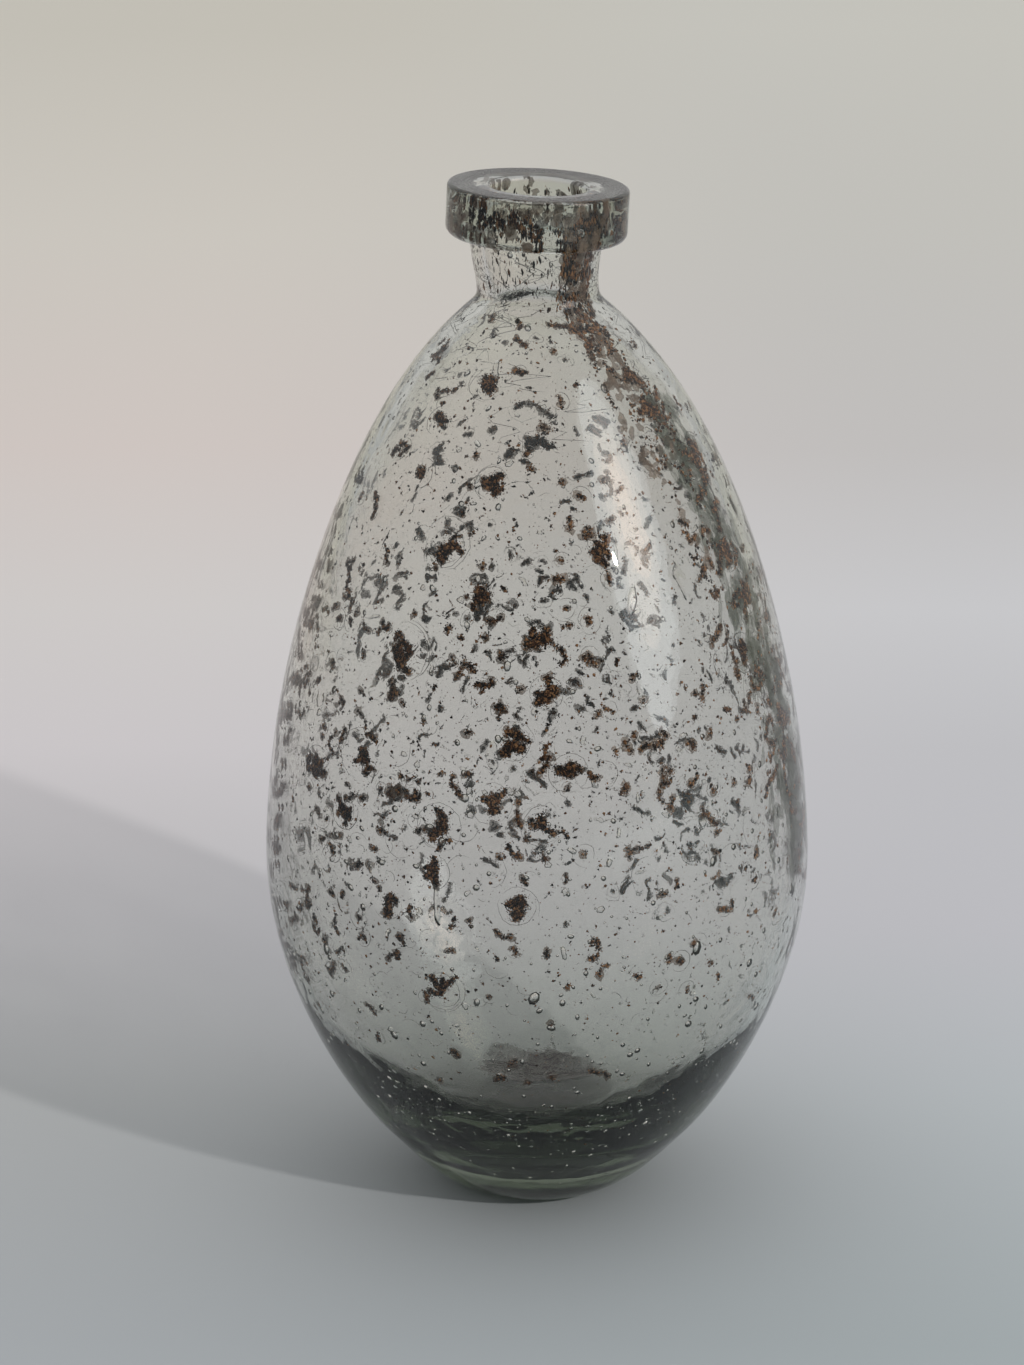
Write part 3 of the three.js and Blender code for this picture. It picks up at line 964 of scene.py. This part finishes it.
ripple, head, tail = new_group(
    "Ripple", [("Scale", "NodeSocketFloat", 60.0), ("Fine", "NodeSocketFloat", 0.3)],
    [("Height", "NodeSocketFloat")])
place_in = node(ripple, "ShaderNodeTexCoord")
broad = node(ripple, "ShaderNodeTexNoise", {"Detail": 1.0, "Distortion": 0.6},
             {"Vector": place_in.outputs["Object"], "Scale": head.outputs["Scale"]})
TIMES_FINER = 9.0
times = node(ripple, "ShaderNodeMath", {1: TIMES_FINER}, {0: head.outputs["Scale"]}, operation="MULTIPLY")
fine = node(ripple, "ShaderNodeTexNoise", {"Detail": 2.0, "Distortion": 1.2},
            {"Vector": place_in.outputs["Object"], "Scale": times.outputs[0]})
both = node(ripple, "ShaderNodeMath", {}, {0: fine.outputs["Fac"], 1: head.outputs["Fine"],
                                           2: broad.outputs["Fac"]}, operation="MULTIPLY_ADD")
ripple.links.new(both.outputs[0], tail.inputs["Height"])
print("groups:", [g.name for g in bpy.data.node_groups])


# %% Helpers for materials
def new_material(name):
    """A material, its node tree and its shader."""
    material = bpy.data.materials.new(name)
    material.use_nodes = True
    return material, material.node_tree, material.node_tree.nodes["Principled BSDF"]


def grouped(tree, group, values):
    """The output of a shared group, with its own values here."""
    return node(tree, "ShaderNodeGroup", values, node_tree=group).outputs[0]


def bump(tree, height, shader, strength, distance):
    """Turn a height into a bumpy normal for the shader."""
    made = node(tree, "ShaderNodeBump", {"Strength": strength, "Distance": distance}, {"Height": height})
    tree.links.new(made.outputs["Normal"], shader.inputs["Normal"])


def ramp(tree, factor, stops):
    """A colour for each value of the factor, given as stops of (place, colour)."""
    made = node(tree, "ShaderNodeValToRGB", {}, {"Fac": factor})
    while len(made.color_ramp.elements) < len(stops):
        made.color_ramp.elements.new(0.5)
    for element, (place_at, colour) in zip(made.color_ramp.elements, stops):
        element.position = place_at
        element.color = (*colour, 1)
    return made.outputs["Color"]


def mixed_colours(tree, blend, first, second):
    """Two colours through a Mix node. A link to the result's node may set how far they mix."""
    made = node(tree, "ShaderNodeMix", data_type="RGBA", blend_type=blend)
    made.inputs["Factor"].default_value = 1.0
    colours = [socket for socket in made.inputs if socket.type == "RGBA"]
    tree.links.new(first, colours[0])
    tree.links.new(second, colours[1])
    return next(socket for socket in made.outputs if socket.type == "RGBA")


# %% [markdown]
# ## Glass
#
# The colour of thick glass comes from its depth, so the tint is an absorbing volume: two walls
# are a pale smoke, and the heavy foot is a dark green. Light that reaches the floor or the grains
# through the glass would need caustics, which are slow and noisy. For those rays the glass is
# plainly transparent instead: darker where it is seen edge on and near the foot, and uneven.


# %% Glass materials
GLASS_COLOUR = (0.972, 0.962, 0.946, 1)
DEPTH_COLOUR = (0.365, 0.432, 0.335, 1)
DEPTH_DENSITY = 36.0
GLASS_IOR = 1.5
THICK_BELOW = 80 * MM           # the glass grows thicker from here down


def glass_material(name, roughness):
    """The tinted glass, polished or dull."""
    material, tree, shader = new_material(name)
    output = tree.nodes["Material Output"]
    shader.inputs["Base Color"].default_value = GLASS_COLOUR
    shader.inputs["Roughness"].default_value = roughness
    shader.inputs["IOR"].default_value = GLASS_IOR
    shader.inputs["Transmission Weight"].default_value = 1.0
    tint = node(tree, "ShaderNodeVolumeAbsorption", {"Color": DEPTH_COLOUR, "Density": DEPTH_DENSITY})
    tree.links.new(tint.outputs["Volume"], output.inputs["Volume"])
    paths = node(tree, "ShaderNodeLightPath")
    through = node(tree, "ShaderNodeMath", {}, {0: paths.outputs["Is Shadow Ray"],
                                                1: paths.outputs["Is Diffuse Ray"]}, operation="MAXIMUM")
    facing = node(tree, "ShaderNodeLayerWeight", {"Blend": 0.5})
    shade = ramp(tree, facing.outputs["Facing"], [(0.0, (0.84, 0.84, 0.83)), (0.6, (0.72, 0.73, 0.72)),
                                                  (1.0, (0.25, 0.27, 0.26))])
    place_in = node(tree, "ShaderNodeTexCoord")
    patches = node(tree, "ShaderNodeTexNoise", {"Scale": 55.0, "Detail": 4.0},
                   {"Vector": place_in.outputs["Object"]})
    uneven = ramp(tree, patches.outputs["Fac"], [(0.35, (0.75, 0.75, 0.75)), (0.65, (1, 1, 1))])
    split = node(tree, "ShaderNodeSeparateXYZ", {}, {"Vector": place_in.outputs["Object"]})
    from_foot = node(tree, "ShaderNodeMapRange", {"From Max": THICK_BELOW}, {"Value": split.outputs["Z"]})
    thick = ramp(tree, from_foot.outputs["Result"], [(0.0, (0.6, 0.61, 0.6)), (1.0, (1, 1, 1))])
    shadow = mixed_colours(tree, "MULTIPLY", mixed_colours(tree, "MULTIPLY", shade, uneven), thick)
    clear = node(tree, "ShaderNodeBsdfTransparent", {}, {"Color": shadow})
    either = node(tree, "ShaderNodeMixShader", {}, {0: through.outputs[0], 1: shader.outputs[0],
                                                    2: clear.outputs[0]})
    tree.links.new(either.outputs[0], output.inputs["Surface"])
    return material, tree, shader


glass_look, tree, shader = glass_material("clear_blown_glass", 0.0)
bump(tree, grouped(tree, ripple, {"Scale": 75.0, "Fine": 0.012}), shader, 0.35, 0.6 * MM)
glass.data.materials.append(glass_look)

# %% [markdown]
# The top of the lip and the dish under the foot were ground flat on a wheel. The same glass has a
# dull, ring-scratched face there, so those faces get a second material.

# %% Ground faces
ground_look, tree, shader = glass_material("ground_glass", 0.22)
place_in = node(tree, "ShaderNodeTexCoord")
rings = node(tree, "ShaderNodeTexWave", {"Scale": 260.0, "Distortion": 6.0, "Detail": 3.0},
             {"Vector": place_in.outputs["Object"]}, wave_type="RINGS", rings_direction="Z")
bump(tree, rings.outputs["Fac"], shader, 0.5, 0.12 * MM)
glass.data.materials.append(ground_look)

body_faces = glass_faces[:len(glass_body[1])]
middles = glass_verts[body_faces].mean(1)
radii = np.hypot(middles[:, 0], middles[:, 1])
lip_height = MOUTH_HEIGHT - np.tan(LIP_TILT) * middles[:, 0]
level_with_lip = np.abs(middles[:, 2] - lip_height) < 0.5 * MM
on_lip = level_with_lip & (radii > MOUTH_RADIUS) & (radii < COLLAR_RADIUS - 1 * MM)
on_dish = (middles[:, 2] < 1.2 * MM) & (radii < DISH_RADIUS)
slots = np.zeros(len(glass.data.polygons), np.int32)
slots[:len(body_faces)] = on_lip | on_dish
glass.data.polygons.foreach_set("material_index", slots)
print("ground faces:", int(slots.sum()))

# %% [markdown]
# ## Oxide and stain
#
# Oxide is matt and nearly black, with a brown bloom where it is thin. It lies in the glass, so it
# has almost no shine of its own, and its colour stays deep. The rust number of each grain, which
# also holds painted light that makes the grains paler brown on the side facing the lamps, picks a
# place on a colour ramp, and a fine mottle moves it, so no two grains are alike. The stains and the
# darker patch in the bottle's floor share one function, which takes a dark and a pale colour and
# how far the film covers.

# %% Oxide and stain materials
RUST_COLOURS = [(0.0, (0.003, 0.002, 0.001)), (0.35, (0.014, 0.007, 0.003)),
                (0.65, (0.135, 0.054, 0.02)), (1.0, (0.34, 0.175, 0.08))]
oxide_look, tree, shader = new_material("oxide")
# The attribute holds rust, plus painted light that is paler brown on the side that faces the lamps.
rust = node(tree, "ShaderNodeAttribute", attribute_name="rust")
uneven = grouped(tree, mottle, {"Scale": 2200.0})
mixed = node(tree, "ShaderNodeMath", {1: 0.3, 2: -0.12}, {0: uneven}, operation="MULTIPLY_ADD")
browner = node(tree, "ShaderNodeMath", {}, {0: rust.outputs["Fac"], 1: mixed.outputs[0]}, operation="ADD")
tree.links.new(ramp(tree, browner.outputs[0], RUST_COLOURS), shader.inputs["Base Color"])
shader.inputs["Roughness"].default_value = 0.75
shader.inputs["Specular IOR Level"].default_value = 0.06
bump(tree, uneven, shader, 0.4, 0.1 * MM)


def film_material(name, dark, pale, alpha):
    """A mottled film between two colours, see-through by its alpha."""
    material, tree, shader = new_material(name)
    uneven = grouped(tree, mottle, {"Scale": 900.0})
    tree.links.new(ramp(tree, uneven, [(0.0, dark), (1.0, pale)]), shader.inputs["Base Color"])
    shader.inputs["Roughness"].default_value = 0.6
    shader.inputs["Alpha"].default_value = alpha
    return material


looks = {stains.name: film_material("stain", (0.075, 0.04, 0.018), (0.22, 0.138, 0.08), 0.44),
         green.name: film_material("green_stain", (0.03, 0.042, 0.022), (0.07, 0.09, 0.05), 0.24),
         patch.name: film_material("floor_stain", (0.13, 0.06, 0.045), (0.2, 0.1, 0.08), 0.16)}
for piece in bpy.data.objects:
    if piece.get("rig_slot") == "oxide":
        piece.data.materials.append(looks.get(piece.name, oxide_look))
print("materials:", [m.name for m in bpy.data.materials if m.users])

# %% [markdown]
# ## Floor, light and world
#
# The bottle stands on a pale, seamless floor. Its colour holds painted light and shade: darker
# towards the front, and a paler pool of painted light on the left behind the bottle. Glass shows
# what is round it more than its own colour, so the room matters as much as the material: it is dim
# in front, pale behind and brightest overhead. One small lamp on the right throws the long shadow.
# Three soft boxes, one within the other, make a highlight that is brightest in the middle and fades
# outwards.

# %% Floor
NEAR, FAR, FLOOR_MIDDLE = -0.12, 2.5, 2.0       # metres behind the bottle
FLOOR_SIZE = 14
FLOOR_DROP = 0.2 * MM                           # so that the foot doesn't share its plane
SIDES_REACH = 0.25                              # from the axis to where each side's tone is pure
# Painted light and shade in the floor's own colour: darker towards the front, and a paler pool of painted
# light on the left, from about 0.4 to 1.5 m behind the bottle.
PAINTED_FLOOR_SHADING = [                                 # metres behind, then the left and the right tone
    (-0.12, (0.42, 0.445, 0.47), (0.36, 0.41, 0.43)),
    (0.05, (0.445, 0.458, 0.465), (0.48, 0.52, 0.55)),
    (0.2, (0.55, 0.545, 0.565), (0.545, 0.55, 0.59)),
    (0.4, (0.71, 0.68, 0.70), (0.58, 0.585, 0.615)),
    (0.6, (0.755, 0.725, 0.715), (0.675, 0.68, 0.705)),
    (0.9, (0.785, 0.71, 0.675), (0.645, 0.63, 0.625)),
    (1.5, (0.78, 0.74, 0.675), (0.69, 0.68, 0.64)),
    (2.5, (0.73, 0.70, 0.62), (0.74, 0.73, 0.67)),
]
bpy.ops.mesh.primitive_plane_add(size=FLOOR_SIZE, location=(0, FLOOR_MIDDLE, -FLOOR_DROP))
floor = bpy.context.object
floor.name = "floor"
painted_floor_look, tree, shader = new_material("pale_floor")
place_in = node(tree, "ShaderNodeTexCoord")
split = node(tree, "ShaderNodeSeparateXYZ", {}, {"Vector": place_in.outputs["Object"]})
back = node(tree, "ShaderNodeMapRange", {"From Min": NEAR - FLOOR_MIDDLE, "From Max": FAR - FLOOR_MIDDLE},
            {"Value": split.outputs["Y"]})
left_painted_shading, right_painted_shading = (ramp(tree, back.outputs["Result"],
                              [((row[0] - NEAR) / (FAR - NEAR), row[side]) for row in PAINTED_FLOOR_SHADING])
                         for side in (1, 2))
across = node(tree, "ShaderNodeMapRange", {"From Min": -SIDES_REACH, "From Max": SIDES_REACH},
              {"Value": split.outputs["X"]}, interpolation_type="SMOOTHSTEP")
# The left and right painted shading, blended across the middle of the floor.
painted_floor_shading = mixed_colours(tree, "MIX", left_painted_shading, right_painted_shading)
tree.links.new(across.outputs["Result"], painted_floor_shading.node.inputs["Factor"])
tree.links.new(painted_floor_shading, shader.inputs["Base Color"])
shader.inputs["Roughness"].default_value = 0.9
floor.data.materials.append(painted_floor_look)

# %% Room and lamps
FRONT_TO_BACK = [(0.0, (0.18, 0.185, 0.19)), (0.5, (0.5, 0.5, 0.5)), (1.0, (0.62, 0.61, 0.6))]
LEVEL_TO_TOP = [(0.0, (0.5, 0.5, 0.5)), (0.3, (0.5, 0.5, 0.5)), (1.0, (0.95, 0.95, 0.95))]
HORIZON_COLOUR = (0.225, 0.228, 0.23, 1)
HORIZON_TOP = 0.08              # the height of a direction where the horizon's own tone ends
ROOM_STRENGTH = 2.08

world = bpy.data.worlds.new("room")
bpy.context.scene.world = world
world.use_nodes = True
tree = world.node_tree
way = node(tree, "ShaderNodeTexCoord")
split = node(tree, "ShaderNodeSeparateXYZ", {}, {"Vector": way.outputs["Generated"]})
depth_share = node(tree, "ShaderNodeMapRange", {"From Min": -1.0, "From Max": 1.0},
                   {"Value": split.outputs["Y"]})
around = ramp(tree, depth_share.outputs["Result"], FRONT_TO_BACK)
overhead = ramp(tree, split.outputs["Z"], LEVEL_TO_TOP)
horizon = node(tree, "ShaderNodeRGB").outputs["Color"]
horizon.default_value = HORIZON_COLOUR
sky = mixed_colours(tree, "MIX", horizon, mixed_colours(tree, "MULTIPLY", around, overhead))
above = node(tree, "ShaderNodeMapRange", {"From Max": HORIZON_TOP}, {"Value": split.outputs["Z"]},
             interpolation_type="SMOOTHSTEP")
tree.links.new(above.outputs["Result"], sky.node.inputs["Factor"])
tree.links.new(sky, tree.nodes["Background"].inputs["Color"])
tree.nodes["Background"].inputs["Strength"].default_value = ROOM_STRENGTH


def lamp(name, kind, place_at, aim, power, colour):
    """A lamp at a place, turned to face its aim."""
    light = bpy.data.lights.new(name, kind)
    light.energy = power
    light.color = colour
    made = bpy.data.objects.new(name, light)
    made.location = place_at
    made.rotation_euler = (Vector(aim) - Vector(place_at)).to_track_quat("-Z", "Y").to_euler()
    bpy.context.scene.collection.objects.link(made)
    return made


LAMP_PLACE, LAMP_POWER, LAMP_RADIUS = (1.023, -1.059, 0.85), 46, 0.03
key = lamp("low_lamp", "POINT", LAMP_PLACE, (0, 0, 0), LAMP_POWER, (1, 0.97, 0.93))
key.data.shadow_soft_size = LAMP_RADIUS
key.visible_transmission = False

BOX_PLACE, BOX_AIM = (1.6, -0.98, 1.22), (0, 0, 0.2)
TALLER = 1.6                                    # a soft box's height for its width
SOFT_BOXES = [(0.45, 3.5, (1, 0.84, 0.74)),     # width, power and colour, warm in the middle
              (0.85, 8, (1, 0.95, 0.91)),
              (1.3, 12, (0.9, 0.96, 1))]
for number, (width, power, colour) in enumerate(SOFT_BOXES):
    window = lamp("soft_box_%d" % number, "AREA", BOX_PLACE, BOX_AIM, power, colour)
    window.data.shape = "ELLIPSE"
    window.data.size = width
    window.data.size_y = TALLER * width
    window.visible_diffuse = False

scene = bpy.context.scene
scene.view_settings.view_transform = "Standard"
scene.cycles.max_bounces = 24
scene.cycles.transmission_bounces = 24
scene.cycles.glossy_bounces = 8
scene.cycles.transparent_max_bounces = 48
scene.cycles.diffuse_bounces = 3
